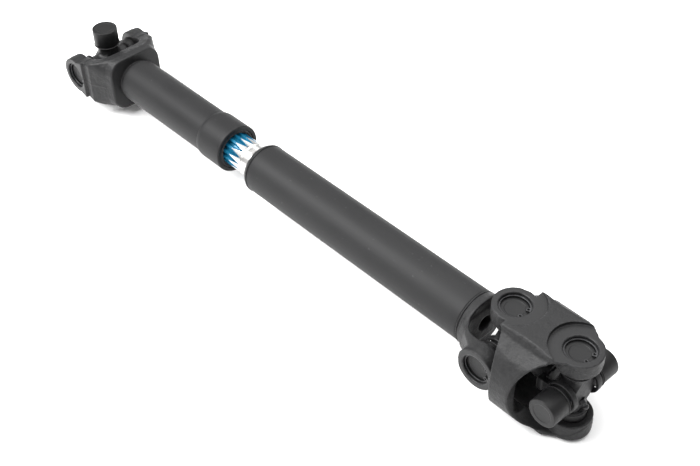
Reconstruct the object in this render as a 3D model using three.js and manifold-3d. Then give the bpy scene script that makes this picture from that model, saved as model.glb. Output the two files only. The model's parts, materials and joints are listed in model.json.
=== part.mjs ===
// Front drive shaft with a splined slip yoke, a pinion joint and a double-cardan joint.
// Millimetres. +X runs along the shaft from the pinion joint to the double-cardan joint, +Z is up.
// The origin is on the shaft axis, half way between the two outermost joint centres.
import * as THREE from "three";
import { mergeVertices } from "three/addons/utils/BufferGeometryUtils.js";
import Module from "manifold-3d";

const wasm = await Module();
wasm.setup();

// Driving dimensions
const jointSpan = 591; // pinion joint centre to the inner cardan centre
const cardanSpan = 67.5; // between the two cardan centres
const capSpan = 81.8; // cap face to cap face
const capR = 13.5; // 27 mm bearing caps
const earFace = 45.3; // centre to an ear's machined outer face
const earInner = 29.6; // centre to an ear's inner face
const earR = 19.7; // round end of every ear
const tubeR = 25.4; // 50.8 mm tube
const tubeWall = 3;
const barrelR = 23.6; // slip yoke barrel
const collarR = 25.5; // dust collar on its open end
const splineTipR = 17.5; // 35 mm spline, 16 teeth
const splineRootR = 15.2;
const gap = 0.3; // left between pieces that touch
const toothClearance = 0.4; // of the splines in the bore
const splineSides = 64; // stations round a spline, four to a tooth

// Stations along the shaft, from the pinion joint centre
const pinionX = -(jointSpan + cardanSpan) / 2;
const throatX = earInner + gap; // floor of each yoke's throat
const bellEndX = 52;
const grooveEndX = 57.5;
const collarStartX = 190;
const collarEndX = 226;
const stubStartX = 140;
const splineEndX = 250;
const runOutX = splineEndX - 8; // full-depth teeth end here
const boreSplineX = 75; // the bore's teeth, short enough for the slide to close
const boreSplineEndX = 198;
const tubeStartX = 265.4;
const stubBossX = tubeStartX + 3;
const seamWidth = 2.2; // of the V between two welded ends
const spigotLength = 16; // of each part pressed into the tube
const backSeamX = 40.3; // from the inner cardan centre back to the rear weld

// Bearings
const capFace = capSpan / 2;
const capRim = 22.5; // centre to the open rim
const capBoreR = 11.4;
const capFloor = 2.6;
const trunnionR = 8.4;
const trunnionEnd = 37.5;
const shoulder = 20.5; // centre to the cross's shoulders
const crossHalf = 9.5; // half the cross's flat thickness
const armR = 11;
const hubR = 14;
const ringStart = capFace + gap; // snap ring groove in the ear
const ringThick = 1.4;
const ringR = 14.6;
const earBoreR = capR + gap;
const fittingR = 3.4; // grease fitting's hexagon
const fittingSeatX = 11.9;
const plugR = 19; // welch plug behind the throat
const sealR = 21.2; // bore of the dust collar for the spline seal

// Coupling yoke
const plateauZ = 48.5; // flat top and bottom lands
const plateauOutline = [ // half of its plan, [from the middle, half width], up to an ear
  [24.5, 27], [27, 26.3], [31, 23.4], [cardanSpan / 2, 22], [36.5, 19.5],
];
const couplingR = 50.5; // barrel between the two joints
const couplingLimitR = 54; // turned over the plateau's corners
const couplingWallHalf = 25;
const couplingBoreR = 37;
const spotR = 26.5; // spot face around each bore
const sideThroats = [ // oval openings on the sides, half sizes along x and z
  { end: -1, halfX: 19.9, halfZ: 49 },
  { end: 1, halfX: 28.7, halfZ: 42.5 },
];
const sweepR = 50; // room for the neighbour yokes' ears
const scoopR = 22; // dished corner pockets
const scoopStretch = 2.45; // along the shaft
const scoopY = 45.3;
const scoopZ = 55.7;

// Centering device
const ballR = 7;
const socketBoreR = 9;
const socketR = 11.5;
const ballX = cardanSpan / 2;
const eyeInner = 12;
const eyeOuter = 14.6;
const eyeStart = 13;
const eyeEnd = 18;
const bridgeX = 19.5;
const bridgeThick = 5;
const forkWidth = 12;
const springTurns = 2;
const springR = 5;
const springWireR = 0.6;

const paint = new THREE.MeshStandardMaterial({ color: 0x232326, roughness: 0.45, metalness: 0.2 });
const steel = new THREE.MeshStandardMaterial({ color: 0xb9bcc0, roughness: 0.3, metalness: 1 });
const coated = new THREE.MeshStandardMaterial({ color: 0x2f86b0, roughness: 0.35, metalness: 0.1 });
const dark = new THREE.MeshStandardMaterial({ color: 0x2d2e31, roughness: 0.4, metalness: 0.6 });
const rubber = new THREE.MeshStandardMaterial({ color: 0x151515, roughness: 0.8, metalness: 0 });

const root = new THREE.Group();

// three.js geometry to a closed body that faces outwards
function toSolid(geometry) {
  const bare = geometry.clone();
  bare.deleteAttribute("normal");
  bare.deleteAttribute("uv");
  const merged = mergeVertices(bare, 1e-4);
  const mesh = new wasm.Mesh({
    numProp: 3,
    vertProperties: merged.attributes.position.array,
    triVerts: new Uint32Array(merged.index.array),
  });
  return new wasm.Manifold(mesh);
}

function toGeometry(solid) {
  const mesh = solid.getMesh();
  const geometry = new THREE.BufferGeometry();
  geometry.setAttribute("position", new THREE.BufferAttribute(mesh.vertProperties, 3));
  geometry.setIndex(new THREE.BufferAttribute(mesh.triVerts, 1));
  return geometry;
}

// Turns a profile of [along, radius] points about an axis: "x", "y" or "z"
function turn(profile, axis = "x", sides = 32) {
  const points = profile.map(([along, radius]) => new THREE.Vector2(radius, along));
  const geometry = new THREE.LatheGeometry(points, sides);
  if (axis === "x") geometry.rotateZ(-Math.PI / 2);
  if (axis === "z") geometry.rotateX(Math.PI / 2);
  return geometry;
}

// A plain round bar between two stations on an axis
function bar(axis, from, to, radius, sides = 32) {
  return turn([[from, 0], [from, radius], [to, radius], [to, 0]], axis, sides);
}

// A ring of rectangular section
function ring(axis, from, to, inner, outer, sides = 24) {
  return turn([[from, inner], [from, outer], [to, outer], [to, inner], [from, inner]], axis, sides);
}

function box(x, y, z, sizeX, sizeY, sizeZ) {
  return new THREE.BoxGeometry(sizeX, sizeY, sizeZ).translate(x, y, z);
}

// An outline in X and Y, carried up Z from -half to +half
function slab(shape, half, curveSegments = 16) {
  const geometry = new THREE.ExtrudeGeometry(shape, {
    depth: 2 * half,
    bevelEnabled: false,
    curveSegments,
  });
  return geometry.translate(0, 0, -half);
}

function solid(...geometries) {
  return geometries.map(toSolid).reduce((sum, piece) => sum.add(piece));
}

// Adds a named piece to a group at a joint centre
function piece(group, name, geometry, material) {
  const mesh = new THREE.Mesh(geometry, material);
  mesh.name = name;
  group.add(mesh);
  return mesh;
}

function stationGroup(x) {
  const group = new THREE.Group();
  group.position.x = pinionX + x;
  root.add(group);
  return group;
}

// Moves an outward geometry made along +Z onto one of the four trunnions
const trunnions = {
  top: (geometry) => geometry,
  bottom: (geometry) => geometry.rotateX(Math.PI),
  near: (geometry) => geometry.rotateX(Math.PI / 2),
  far: (geometry) => geometry.rotateX(-Math.PI / 2),
};

// Bearing cap: a cup, open towards the cross
function capCup() {
  return turn([
    [capFace - capFloor, 0],
    [capFace - capFloor, capBoreR],
    [capRim, capBoreR],
    [capRim, capR],
    [capFace, capR],
    [capFace, 0],
  ], "z", 20);
}

function trunnionSeal() {
  const from = shoulder + gap;
  return turn([
    [from, trunnionR + gap],
    [from, capR - 0.9],
    [capRim - gap, capR + 0.6],
    [capRim - gap, trunnionR + gap],
    [from, trunnionR + gap],
  ], "z", 14);
}

function needleSleeve() {
  return ring("z", capRim + 2, capFace - capFloor - gap, trunnionR + gap, capBoreR - gap, 16);
}

// Outside snap ring: an open ring with two eyelets
function snapRing() {
  const innerR = ringR - 2.6;
  const openAngle = 0.32;
  const lugR = innerR - 2.4;
  const lugAngle = 0.62;
  const shape = new THREE.Shape();
  shape.moveTo(lugR * Math.cos(openAngle), lugR * Math.sin(openAngle));
  shape.lineTo(ringR * Math.cos(openAngle), ringR * Math.sin(openAngle));
  shape.absarc(0, 0, ringR, openAngle, 2 * Math.PI - openAngle, false);
  shape.lineTo(lugR * Math.cos(openAngle), -lugR * Math.sin(openAngle));
  shape.absarc(0, 0, lugR, -openAngle, -lugAngle, true);
  shape.lineTo(innerR * Math.cos(lugAngle), -innerR * Math.sin(lugAngle));
  shape.absarc(0, 0, innerR, 2 * Math.PI - lugAngle, lugAngle, true);
  shape.lineTo(lugR * Math.cos(lugAngle), lugR * Math.sin(lugAngle));
  shape.absarc(0, 0, lugR, lugAngle, openAngle, true);
  const flat = slab(shape, ringThick / 2, 4);
  return flat.translate(0, 0, ringStart + gap + ringThick / 2);
}

// Bearing set on one trunnion: cap and seal, and a snap ring where an ear holds the cap
function bearing(group, owner, side, heldByEar) {
  const place = trunnions[side];
  piece(group, `${owner}_cap_${side}`, place(capCup()), dark);
  piece(group, `${owner}_seal_${side}`, place(trunnionSeal()), rubber);
  if (heldByEar) piece(group, `${owner}_snap_ring_${side}`, place(snapRing()), steel);
  else piece(group, `${owner}_needles_${side}`, place(needleSleeve()), steel);
}

// Cross: two flat-fronted arms, a hub and four trunnions
function cross() {
  const arms = solid(
    bar("y", -shoulder, shoulder, armR, 16),
    bar("z", -shoulder, shoulder, armR, 16),
    bar("x", -crossHalf, crossHalf, hubR, 16),
  );
  const slice = toSolid(box(0, 0, 0, 2 * crossHalf, 4 * shoulder, 4 * shoulder));
  const pins = solid(
    bar("y", -trunnionEnd, trunnionEnd, trunnionR, 16),
    bar("z", -trunnionEnd, trunnionEnd, trunnionR, 16),
  );
  return toGeometry(arms.intersect(slice).add(pins));
}

// Grease fitting standing out of the crotch between two arms
function greaseFitting(turnAboutY) {
  const geometry = turn([
    [fittingSeatX + gap, 0], [fittingSeatX + gap, fittingR], [16, fittingR],
    [16, 2], [18.5, 2], [20, 2.9], [21.6, 1.8], [21.6, 0],
  ], "z", 10);
  return geometry.rotateY(turnAboutY);
}

function fittingSeat(turnAboutY) {
  return toSolid(bar("z", fittingSeatX, 30, fittingR + gap, 10).rotateY(turnAboutY));
}

// Cuts one ear's bore and its snap ring groove, along +Z
function earCuts() {
  return solid(
    bar("z", earInner - 9, 60, earBoreR, 20),
    ring("z", ringStart, ringStart + ringThick + 2 * gap, earBoreR - 1, ringR + gap, 20),
  );
}

function cutEars(body, sides) {
  const cuts = { top: 0, bottom: 180, near: 90, far: -90 };
  return sides.reduce((left, side) => left.subtract(earCuts().rotate([cuts[side], 0, 0])), body);
}

// A yoke with ears along Y and its base towards +X, forged between a side and a top outline
function forkBlank(base) {
  const side = new THREE.Shape();
  side.moveTo(base.endX, -base.halfZ);
  side.lineTo(base.startX, -base.halfZ);
  side.lineTo(earR * 0.3, -earR * 0.985);
  side.absarc(0, 0, earR, -Math.PI * 0.44, Math.PI * 0.44, true);
  side.lineTo(base.startX, base.halfZ);
  side.lineTo(base.endX, base.halfZ);
  const top = new THREE.Shape();
  top.moveTo(base.endX, -base.halfY);
  top.quadraticCurveTo(base.startX, -base.halfY - 2, base.waistX, -base.armY);
  top.lineTo(base.bossX, -base.armY);
  top.lineTo(base.bossX, -earFace);
  top.lineTo(-earR - 5, -earFace);
  top.lineTo(-earR - 5, earFace);
  top.lineTo(base.bossX, earFace);
  top.lineTo(base.bossX, base.armY);
  top.lineTo(base.waistX, base.armY);
  top.quadraticCurveTo(base.startX, base.halfY + 2, base.endX, base.halfY);
  const round = turn([
    [-earR - 5, 0], [-earR - 5, 60], [10, 60], [base.startX, base.cornerR + 2],
    [base.endX, base.cornerR], [base.endX, 0],
  ], "x", 24);
  const throat = new THREE.Shape();
  throat.moveTo(-30, -earInner);
  throat.lineTo(throatX - base.throatRound, -earInner);
  throat.absarc(throatX - base.throatRound, -earInner + base.throatRound,
    base.throatRound, -Math.PI / 2, 0, false);
  throat.absarc(throatX - base.throatRound, earInner - base.throatRound,
    base.throatRound, 0, Math.PI / 2, false);
  throat.lineTo(-30, earInner);
  return toSolid(slab(side, 60).rotateX(Math.PI / 2))
    .intersect(toSolid(slab(top, 60, 6)))
    .intersect(toSolid(round))
    .add(toSolid(bar("y", -earFace, earFace, base.bossR, 48)))
    .subtract(toSolid(slab(throat, 60, 6)));
}

// Radius of the spline's outline at one of its 64 stations: two on a tooth, two in a gap
function splineRadius(station, tip, rootRadius) {
  return station % 4 < 2 ? tip : rootRadius;
}

// Pulls the vertices of a turned surface in to the spline's gaps
function cutTeeth(geometry, isSpline, tip, rootRadius) {
  const position = geometry.attributes.position;
  for (let i = 0; i < position.count; i += 1) {
    const [x, y, z] = [position.getX(i), position.getY(i), position.getZ(i)];
    const radius = Math.hypot(y, z);
    if (!isSpline(x, radius)) continue;
    const station = Math.round((Math.atan2(z, y) / (2 * Math.PI)) * splineSides + splineSides);
    const scale = splineRadius(station, tip, rootRadius) / radius;
    position.setXYZ(i, x, y * scale, z * scale);
  }
  return geometry;
}

function slipYoke() {
  const blank = forkBlank({
    startX: 43, endX: bellEndX, halfZ: 30.5, halfY: 31.5, cornerR: 36.5,
    waistX: 26, armY: 42.6, bossX: 15.5, throatRound: 15, bossR: earR - 1,
  });
  const plugSeat = bar("x", throatX - 2, 40.5, plugR + gap);
  const hubBore = bar("x", 40, boreSplineX + 1, splineRootR + toothClearance + 1.5);
  const collarSeat = collarEndX - 4.5;
  const boreR = splineTipR + toothClearance;
  const neckR = 20.5;
  const barrel = cutTeeth(
    turn([
      [44, neckR], [grooveEndX, neckR], [grooveEndX, barrelR], [collarSeat, barrelR],
      [collarSeat, boreR], [boreSplineEndX + 1, boreR], [boreSplineEndX, boreR],
      [boreSplineX, boreR], [44, neckR],
    ], "x", splineSides),
    (x, radius) => x > boreSplineX - 1 && x < boreSplineEndX + 0.5 && Math.abs(radius - boreR) < 0.01,
    boreR, splineRootR + toothClearance,
  );
  const bored = blank.subtract(toSolid(plugSeat)).subtract(toSolid(hubBore));
  const hollow = toSolid(bar("x", 43, bellEndX + 1, boreR, splineSides));
  return cutEars(bored.subtract(hollow).add(toSolid(barrel)), ["near", "far"]);
}

function splinedStub() {
  const shankR = splineTipR - 0.4;
  const spigotR = tubeR - tubeWall - gap;
  const geometry = turn([
    [stubStartX, 0], [stubStartX, splineTipR - 2.8], [stubStartX + 2, splineTipR],
    [runOutX, splineTipR], [splineEndX, splineTipR], [splineEndX + 1.5, shankR],
    [tubeStartX - 3.4, shankR], [tubeStartX, tubeR - 1.2], [stubBossX, tubeR - 0.2],
    [stubBossX, spigotR], [stubBossX + spigotLength, spigotR], [stubBossX + spigotLength, 0],
  ], "x", splineSides);
  return cutTeeth(
    geometry,
    (x, radius) => x > stubStartX + 1 && x < runOutX + 0.1 && radius > splineRootR,
    splineTipR, splineRootR,
  );
}

function weldBead(at) {
  const rootRadius = tubeR - tubeWall + 0.6;
  const half = seamWidth / 2 - gap;
  return turn([
    [at - half, rootRadius], [at - half, tubeR + 0.4], [at, tubeR + 1.1],
    [at + half, tubeR + 0.4], [at + half, rootRadius], [at - half, rootRadius],
  ], "x", 24);
}

// Slip end: yoke, pinion cross and the pieces on the spline
function buildSlipEnd() {
  const group = stationGroup(0);
  piece(group, "slip_yoke", toGeometry(slipYoke()), paint);
  for (const side of ["near", "far"]) bearing(group, "slip_yoke", side, true);
  const fittingTurn = -Math.PI / 4;
  piece(group, "pinion_cross", toGeometry(toSolid(cross()).subtract(fittingSeat(fittingTurn))), dark);
  piece(group, "pinion_cross_fitting", greaseFitting(fittingTurn), steel);
  for (const side of ["top", "bottom"]) bearing(group, "pinion", side, false);
  const plug = turn([
    [throatX + 3, 0], [throatX + 5.5, plugR], [throatX + 7.5, plugR], [throatX + 5, 0],
  ], "x", 20);
  piece(group, "welch_plug", plug, steel);
  const sealSeat = collarEndX - 3.9;
  const collar = turn([
    [collarStartX, barrelR + gap], [collarStartX + 0.5, collarR - 0.9], [collarStartX + 4, collarR],
    [collarEndX - 0.8, collarR], [collarEndX, collarR - 0.8], [collarEndX, sealR],
    [sealSeat, sealR], [sealSeat, barrelR + gap], [collarStartX, barrelR + gap],
  ], "x", 32);
  piece(group, "dust_collar", collar, paint);
  const seal = ring("x", sealSeat + gap, collarEndX - 0.8, splineTipR + gap, sealR - gap, 24);
  piece(group, "spline_seal", seal, rubber);
}

// Shaft: stub, tube, welds and the tube yoke
function buildShaft() {
  const group = stationGroup(0);
  piece(group, "splined_stub", splinedStub(), coated);
  const frontSeam = stubBossX + seamWidth / 2;
  const backSeam = jointSpan - backSeamX;
  const tubeFrom = frontSeam + seamWidth / 2;
  const tubeTo = backSeam - seamWidth / 2;
  piece(group, "weld_bead_front", weldBead(frontSeam), paint);
  piece(group, "main_tube", ring("x", tubeFrom, tubeTo, tubeR - tubeWall, tubeR, 36), paint);
  piece(group, "weld_bead_back", weldBead(backSeam), paint);
  const fork = stationGroup(jointSpan);
  const blank = forkBlank({
    startX: 29, endX: 35, halfZ: 18, halfY: 26.5, cornerR: 28.5,
    waistX: 10, armY: 42.6, bossX: 5, throatRound: 15, bossR: earR,
  });
  const hubEnd = backSeamX - seamWidth / 2;
  const spigotR = tubeR - tubeWall - gap;
  const hub = turn([
    [throatX, 0], [throatX, 27], [hubEnd, tubeR],
    [hubEnd, spigotR], [hubEnd + spigotLength - 3, spigotR], [hubEnd + spigotLength - 3, 0],
  ], "x", 28);
  const lightening = bar("x", throatX - 3, 44, 8, 24);
  const body = cutEars(blank.add(toSolid(hub)).subtract(toSolid(lightening)), ["near", "far"]);
  piece(fork, "tube_yoke", toGeometry(body.rotate([0, 180, 0])), paint);
  for (const side of ["near", "far"]) bearing(fork, "tube_yoke", side, true);
}

// Small fork on the Y trunnions, bridged on its +X side
function centeringFork() {
  const eyes = ring("y", eyeStart, eyeEnd, eyeInner, eyeOuter, 16);
  const armLength = bridgeX - eyeInner + bridgeThick / 2;
  const armX = (bridgeX + eyeInner) / 2;
  const arm = box(armX, (eyeStart + eyeEnd) / 2, 0, armLength, eyeEnd - eyeStart, forkWidth);
  const half = toSolid(eyes).add(toSolid(arm).subtract(toSolid(bar("y", 0, 30, eyeInner, 16))));
  const bridge = box(bridgeX + bridgeThick / 2, 0, 0, bridgeThick, 2 * eyeEnd, forkWidth);
  return half.add(half.rotate([180, 0, 0])).add(toSolid(bridge));
}

function buildCardan() {
  const inner = stationGroup(jointSpan);
  const innerFitting = Math.PI * -0.3;
  piece(inner, "inner_cross", toGeometry(toSolid(cross()).subtract(fittingSeat(innerFitting))), dark);
  piece(inner, "inner_cross_fitting", greaseFitting(innerFitting), steel);
  const ballTop = 9;
  const ball = new THREE.SphereGeometry(ballR, 14, 9).translate(ballX, 0, 0);
  const stud = turn([[bridgeX + 1, 0], [bridgeX + 1, 6], [ballX - ballTop + 1, 4], [ballX, 4], [ballX, 0]], "x", 14);
  piece(inner, "centering_ball_fork", toGeometry(centeringFork().add(solid(stud, ball))), steel);

  const outer = stationGroup(jointSpan + cardanSpan);
  const outerFitting = Math.PI * 0.75;
  piece(outer, "outer_cross", toGeometry(toSolid(cross()).subtract(fittingSeat(outerFitting))), dark);
  piece(outer, "outer_cross_fitting", greaseFitting(outerFitting), steel);
  for (const side of ["near", "far"]) bearing(outer, "outer", side, false);
  const mouth = ballX + 2;
  const floor = ballX - ballR - gap - 1.6;
  const springSeat = bridgeX + 1.4;
  const socket = centeringFork()
    .add(toSolid(bar("x", bridgeX + 1, mouth, socketR, 20)))
    .subtract(toSolid(bar("x", floor, mouth + 1, socketBoreR, 20)))
    .subtract(toSolid(bar("x", springSeat, floor + 1, 6.2, 16)));
  piece(outer, "centering_socket_fork", toGeometry(socket.rotate([0, 180, 0])), steel);
  const seat = ring("x", floor + gap, ballX - ballR * 0.87, 4.4, socketBoreR - gap, 16);
  piece(outer, "ball_seat", seat.rotateY(Math.PI), steel);
  piece(outer, "centering_spring", coilSpring(springSeat + 0.9, floor - 0.7).rotateY(Math.PI), steel);

  const middle = stationGroup(jointSpan + cardanSpan / 2);
  piece(middle, "centre_yoke", toGeometry(centreYoke()), paint);
  for (const side of ["top", "bottom"]) {
    bearing(inner, "centre_yoke_inner", side, true);
    bearing(outer, "centre_yoke_outer", side, true);
  }
}

function coilSpring(from, to) {
  class Helix extends THREE.Curve {
    getPoint(t, target = new THREE.Vector3()) {
      const angle = 2 * Math.PI * springTurns * t;
      return target.set(from + (to - from) * t, springR * Math.cos(angle), springR * Math.sin(angle));
    }
  }
  const wire = new THREE.Shape().absarc(0, 0, springWireR, 0, 2 * Math.PI, false);
  return new THREE.ExtrudeGeometry(wire, {
    steps: 20, extrudePath: new Helix(), curveSegments: 3, bevelEnabled: false,
  });
}

// Outline of the coupling yoke's top and bottom plates, in X and Y
function plateOutline() {
  const half = cardanSpan / 2;
  const [lastX, lastY] = plateauOutline.at(-1);
  const meets = Math.atan2(lastY, lastX - half);
  const shape = new THREE.Shape();
  for (const [x, y] of plateauOutline) shape.lineTo(x, -y);
  shape.absarc(half, 0, earR, -meets, meets, false);
  for (const [x, y] of [...plateauOutline].reverse()) shape.lineTo(x, y);
  for (const [x, y] of plateauOutline) shape.lineTo(-x, y);
  shape.absarc(-half, 0, earR, Math.PI - meets, Math.PI + meets, false);
  for (const [x, y] of [...plateauOutline].reverse()) shape.lineTo(-x, -y);
  return shape;
}

function centreYoke() {
  const half = cardanSpan / 2;
  const wide = 200;
  const at = (end, geometry) => toSolid(geometry.translate(end * half, 0, 0));
  const lands = toSolid(slab(plateOutline(), plateauZ, 12));
  const barrel = toSolid(bar("x", -couplingWallHalf, couplingWallHalf, couplingR, 40))
    .intersect(toSolid(box(0, 0, 0, wide, wide, 2 * plateauZ)));
  let body = lands.add(barrel).intersect(toSolid(bar("x", -wide, wide, couplingLimitR, 40)));
  for (const { end, halfX, halfZ } of sideThroats) {
    const oval = at(end, bar("y", -80, 80, 1, 36).scale(halfX, 1, halfZ));
    body = body.subtract(oval.subtract(at(end, bar("z", -80, 80, earR, 48))));
  }
  body = body.subtract(toSolid(bar("x", -wide, wide, couplingBoreR, 32))
    .intersect(toSolid(box(0, 0, 0, wide, wide, 2 * earInner))));
  for (const end of [-1, 1]) {
    body = body
      .subtract(at(end, bar("z", -22.5, 22.5, sweepR, 30)))
      .subtract(toSolid(box(end * (half + 20), 0, 0, 40, 80, 2 * earInner)))
      .subtract(at(end, bar("z", earFace, 70, spotR, 32)))
      .subtract(at(end, bar("z", -70, -earFace, spotR, 32)));
    body = cutEars(body.translate([-end * half, 0, 0]), ["top", "bottom"])
      .translate([end * half, 0, 0]);
  }
  for (const y of [-scoopY, scoopY])
    for (const z of [-scoopZ, scoopZ])
      body = body.subtract(toSolid(new THREE.SphereGeometry(scoopR, 26, 16)
        .scale(scoopStretch, 1, 1).translate(0, y, z)));
  return body;
}

buildSlipEnd();
buildShaft();
buildCardan();

export default root;
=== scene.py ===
import bmesh
import bpy
import json
import math
import numpy as np
from mathutils import Matrix, Vector

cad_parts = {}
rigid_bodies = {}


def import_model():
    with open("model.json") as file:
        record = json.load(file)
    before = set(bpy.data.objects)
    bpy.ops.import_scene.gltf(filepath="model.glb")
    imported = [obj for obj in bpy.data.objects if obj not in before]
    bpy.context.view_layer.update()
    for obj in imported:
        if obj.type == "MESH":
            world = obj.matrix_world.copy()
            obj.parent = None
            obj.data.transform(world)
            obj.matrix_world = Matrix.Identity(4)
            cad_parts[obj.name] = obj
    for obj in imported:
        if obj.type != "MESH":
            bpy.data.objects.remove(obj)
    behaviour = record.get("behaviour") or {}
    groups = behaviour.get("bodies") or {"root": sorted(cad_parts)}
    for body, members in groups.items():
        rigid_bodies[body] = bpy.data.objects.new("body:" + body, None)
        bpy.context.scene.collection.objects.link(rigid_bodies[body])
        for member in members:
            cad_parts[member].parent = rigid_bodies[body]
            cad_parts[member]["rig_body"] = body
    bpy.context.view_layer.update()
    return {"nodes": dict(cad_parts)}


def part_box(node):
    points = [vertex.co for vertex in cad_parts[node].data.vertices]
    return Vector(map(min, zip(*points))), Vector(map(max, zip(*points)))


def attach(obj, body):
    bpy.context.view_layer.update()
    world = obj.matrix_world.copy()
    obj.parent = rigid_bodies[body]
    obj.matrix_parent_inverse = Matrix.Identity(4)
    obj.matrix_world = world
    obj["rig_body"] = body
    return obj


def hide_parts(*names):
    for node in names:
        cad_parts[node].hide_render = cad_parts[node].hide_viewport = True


# Front drive shaft: a splined slip yoke on the left, a tube, and a double-cardan joint on the right.
# Shapes are worked out in millimetres from a joint's centre, and go into the meshes in metres.

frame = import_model()


def centreX(node):
    low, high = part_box(node)
    return (low.x + high.x) * 500.0


pinionX = centreX("pinion_cross")
innerX = centreX("inner_cross")
outerX = centreX("outer_cross")
middleX = (innerX + outerX) / 2
print("frame loaded, joints at", round(pinionX, 2), round(innerX, 2), round(outerX, 2))

bearing = {
    "capR": 13.5, "capFace": 40.9, "capRim": 22.5, "capBoreR": 11.4, "capFloor": 2.6,
    "dishR": 9.2, "dishDepth": 0.35,
    "trunnionR": 8.4, "trunnionEnd": 37.5, "shoulder": 20.5, "crossHalf": 9.5, "armR": 11, "hubR": 14,
    "ringStart": 41.5, "ringThick": 1.4, "ringR": 14.6, "earBoreR": 13.8, "grooveR": 14.9,
    "needleR": 1.1, "needleCircle": 9.9, "needleCount": 26,
}
earFace, earInner, earR = 45.3, 29.6, 19.7


camera = {"azimuth": 47.64, "elevation": 42.33, "roll": -1.15, "distance": 1.09577, "lens": 60.05,
          "target": (0.06323, 0.0, -0.00607)}


def placeCamera(settings):
    az, el, roll = (math.radians(settings[k]) for k in ("azimuth", "elevation", "roll"))
    back = Vector((math.sin(az) * math.cos(el), -math.cos(az) * math.cos(el), math.sin(el)))
    right = Vector((math.cos(az), math.sin(az), 0))
    up = back.cross(right)
    turned = math.cos(roll) * right + math.sin(roll) * up
    upright = -math.sin(roll) * right + math.cos(roll) * up
    data = bpy.data.cameras.new("camera")
    data.lens = settings["lens"]
    data.sensor_width = 36
    data.clip_end = 20
    obj = bpy.data.objects.new("camera", data)
    place = Matrix((turned, upright, back)).transposed().to_4x4()
    place.translation = Vector(settings["target"]) + back * settings["distance"]
    obj.matrix_world = place
    bpy.context.scene.collection.objects.link(obj)
    bpy.context.scene.camera = obj


placeCamera(camera)

studio = {"world": 0.6, "floor": 0.95, "overhead": 30, "back": 9, "left": 78}


def softBox(name, location, aim, size, power):
    data = bpy.data.lights.new(name, "AREA")
    data.shape = "RECTANGLE"
    data.size, data.size_y = size
    data.energy = power
    obj = bpy.data.objects.new(name, data)
    obj.location = location
    obj.rotation_euler = (Vector(aim) - Vector(location)).to_track_quat("-Z", "Y").to_euler()
    bpy.context.scene.collection.objects.link(obj)


def buildStudio():
    scene = bpy.context.scene
    scene.view_settings.view_transform = "Standard"
    world = bpy.data.worlds.new("studio")
    world.use_nodes = True
    world.node_tree.nodes["Background"].inputs["Color"].default_value = (1, 1, 1, 1)
    world.node_tree.nodes["Background"].inputs["Strength"].default_value = studio["world"]
    scene.world = world
    softBox("overhead", (0.1, 0.35, 1.5), (0.05, 0, 0), (2.2, 1.4), studio["overhead"])
    softBox("back", (-0.7, 1.5, 1.2), (0.1, 0, 0), (2.0, 0.9), studio["back"])
    softBox("left", (-0.65, -1.05, 1.45), (0.2, 0, 0), (1.5, 0.9), studio["left"])
    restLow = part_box("centre_yoke")[0].z          # the shaft lies on these two
    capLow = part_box("pinion_cap_bottom")[0].z
    slope = (restLow - capLow) / ((middleX - pinionX) / 1000)
    half = 6.0
    heights = [restLow + slope * (x - middleX / 1000) - 0.0003 for x in (-half, half)]
    points = [(-half, -half, heights[0]), (half, -half, heights[1]),
              (half, half, heights[1]), (-half, half, heights[0])]
    mesh = bpy.data.meshes.new("floor")
    mesh.from_pydata(points, [], [(0, 1, 2, 3)])
    floor = bpy.data.objects.new("floor", mesh)
    bpy.context.scene.collection.objects.link(floor)
    material = bpy.data.materials.new("paleFloor")
    material.use_nodes = True
    shader = material.node_tree.nodes["Principled BSDF"]
    shader.inputs["Base Color"].default_value = (studio["floor"],) * 3 + (1,)
    shader.inputs["Roughness"].default_value = 0.9
    shader.inputs["Specular IOR Level"].default_value = 0.1
    mesh.materials.append(material)


buildStudio()
print("camera, floor and light placed")


class Nodes:
    # a short way to put nodes into a material and join them
    def __init__(self, name):
        self.material = bpy.data.materials.new(name)
        self.material.use_nodes = True
        self.tree = self.material.node_tree
        self.shader = self.tree.nodes["Principled BSDF"]
        self.place = self.add("ShaderNodeTexCoord").outputs["Object"]

    def add(self, kind, inputs=None, **settings):
        node = self.tree.nodes.new(kind)
        for key, value in settings.items():
            setattr(node, key, value)
        for key, value in (inputs or {}).items():
            self.put(node.inputs[key], value)
        return node

    def put(self, socket, value):
        if isinstance(value, bpy.types.NodeSocket):
            self.tree.links.new(value, socket)
        else:
            socket.default_value = value

    def noise(self, scale, detail=3, roughness=0.55, stretch=(1, 1, 1), distortion=0.0):
        place = self.add("ShaderNodeMapping", {"Vector": self.place, "Scale": stretch}).outputs["Vector"]
        node = self.add("ShaderNodeTexNoise", {"Vector": place, "Scale": scale, "Detail": detail,
                                               "Roughness": roughness, "Distortion": distortion})
        return node.outputs["Fac"]

    def remap(self, value, low, high, toLow, toHigh):
        node = self.add("ShaderNodeMapRange", {"Value": value, "From Min": low, "From Max": high,
                                               "To Min": toLow, "To Max": toHigh})
        return node.outputs["Result"]

    def math(self, operation, a, b):
        return self.add("ShaderNodeMath", {0: a, 1: b}, operation=operation).outputs[0]

    def mix(self, share, a, b):
        node = self.add("ShaderNodeMix", {"Factor": share}, data_type="RGBA")
        self.put(node.inputs[6], a)
        self.put(node.inputs[7], b)
        return node.outputs[2]

    def bump(self, height, distance, strength=1.0, onto=None):
        node = self.add("ShaderNodeBump", {"Height": height, "Distance": distance, "Strength": strength})
        if onto is not None:
            self.put(node.inputs["Normal"], onto)
        return node.outputs["Normal"]

    def attribute(self, name):
        return self.add("ShaderNodeAttribute", attribute_name=name).outputs["Fac"]

    def finish(self, **sockets):
        names = {"colour": "Base Color", "roughness": "Roughness", "metallic": "Metallic", "normal": "Normal",
                 "specular": "Specular IOR Level", "coat": "Coat Weight", "coatRoughness": "Coat Roughness"}
        for key, value in sockets.items():
            self.put(self.shader.inputs[names[key]], value)
        return self.material


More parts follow.
